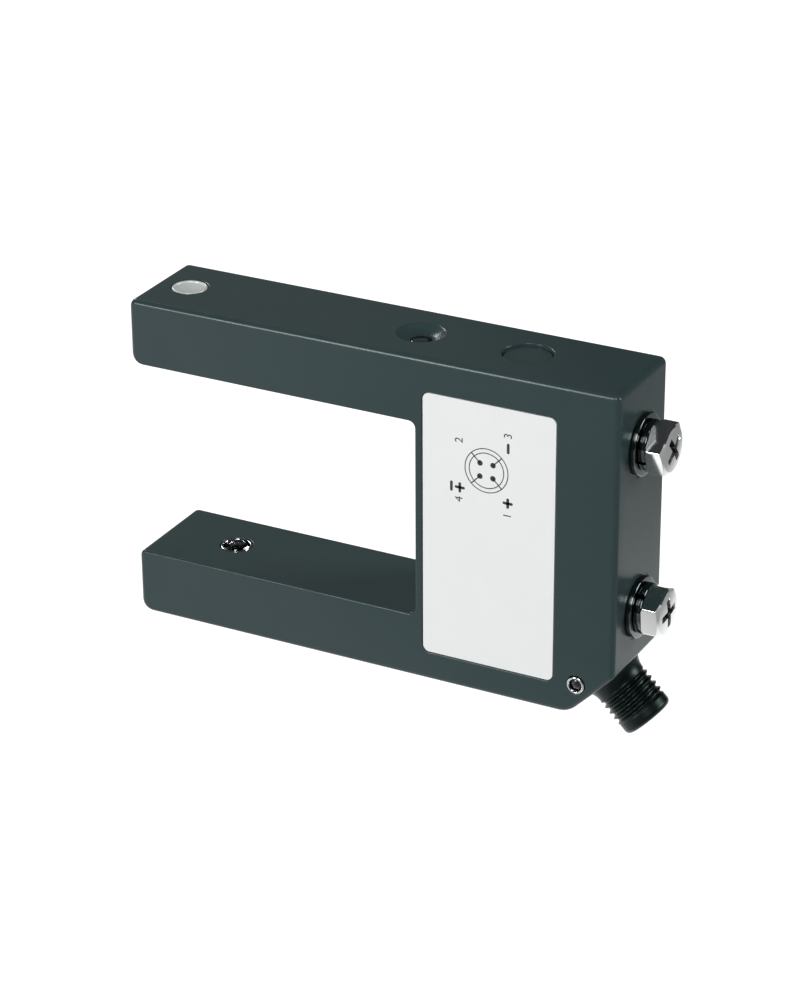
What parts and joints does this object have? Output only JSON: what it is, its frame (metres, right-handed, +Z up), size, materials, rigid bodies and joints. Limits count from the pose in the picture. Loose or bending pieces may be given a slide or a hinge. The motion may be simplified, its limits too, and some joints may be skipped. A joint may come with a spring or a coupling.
{
  "type": "fork sensor",
  "caption": "U-shaped photoelectric fork sensor: die-cast housing with lenses facing across an open slot, plain label, hex screws in the end face and a threaded round connector on the slanted heel.",
  "frame": {"origin": "on the flat mounting end face, midway between its two screws and midway through the thickness", "axes": "+X out of the mounting end face (the arms point to -X), +Y out of the screwed rear cover (the label faces -Y), +Z up, across the slot from the lower arm to the upper one"},
  "size_m": [0.0818, 0.0162, 0.0548],
  "materials": {
    "painted_casting": "satin dark slate grey paint on die-cast metal",
    "painted_cover": "satin dark slate grey paint on the cover and plug",
    "bright_nickel": "bright nickel plate",
    "zinc_plate": "zinc plate",
    "blackened_shell": "blackened metal connector shell",
    "black_plastic": "black moulded plastic",
    "gold_plate": "gold-plated contact",
    "seal_rubber": "black seal rubber",
    "label_film": "white printed film, left plain",
    "clear_lens": "clear moulded lens",
    "dark_window": "dark glossy window",
    "satin_aluminium": "satin aluminium",
    "board_green": "green circuit board",
    "chip_black": "black chip body",
    "diode_epoxy": "tinted clear epoxy",
    "light_die": "pale yellow light body",
    "lead_brown": "brown wire insulation",
    "lead_white": "white wire insulation",
    "lead_blue": "blue wire insulation",
    "lead_black": "black wire insulation"
  },
  "bodies": {
    "root": {"housing": "painted_casting", "rear_cover": "painted_cover", "cover_gasket": "seal_rubber", "cover_screw_1": "zinc_plate", "cover_screw_2": "zinc_plate", "cover_screw_3": "zinc_plate", "cover_screw_4": "zinc_plate", "cover_screw_5": "zinc_plate", "front_label": "label_film", "emitter_lens": "clear_lens", "receiver_lens": "clear_lens", "emitter_lens_ring": "bright_nickel", "receiver_lens_ring": "bright_nickel", "emitter_diode": "diode_epoxy", "receiver_diode": "diode_epoxy", "upper_arm_board": "board_green", "lower_arm_board": "board_green", "indicator_light": "light_die", "indicator_window": "dark_window", "filling_plug": "painted_cover", "tip_inlay": "satin_aluminium", "status_bezel": "bright_nickel", "status_light": "dark_window", "main_board": "board_green", "board_screw_1": "zinc_plate", "board_screw_2": "zinc_plate", "amplifier_chip": "chip_black", "output_driver": "chip_black", "smoothing_capacitor": "satin_aluminium", "connector_shell": "blackened_shell", "connector_seal": "seal_rubber", "connector_nut": "bright_nickel", "connector_insert": "black_plastic", "connector_pin_1": "gold_plate", "connector_pin_2": "gold_plate", "connector_pin_3": "gold_plate", "connector_pin_4": "gold_plate", "connector_lead_1": "lead_brown", "connector_lead_2": "lead_white", "connector_lead_3": "lead_blue", "connector_lead_4": "lead_black", "upper_arm_lead_1": "lead_brown", "upper_arm_lead_2": "lead_blue", "lower_arm_lead_1": "lead_brown", "lower_arm_lead_2": "lead_blue", "upper_mounting_screw": "bright_nickel", "lower_mounting_screw": "bright_nickel", "upper_mounting_screw_flat_washer": "bright_nickel", "lower_mounting_screw_flat_washer": "bright_nickel", "upper_mounting_screw_spring_washer": "bright_nickel", "lower_mounting_screw_spring_washer": "bright_nickel"}
  },
  "joints": []
}
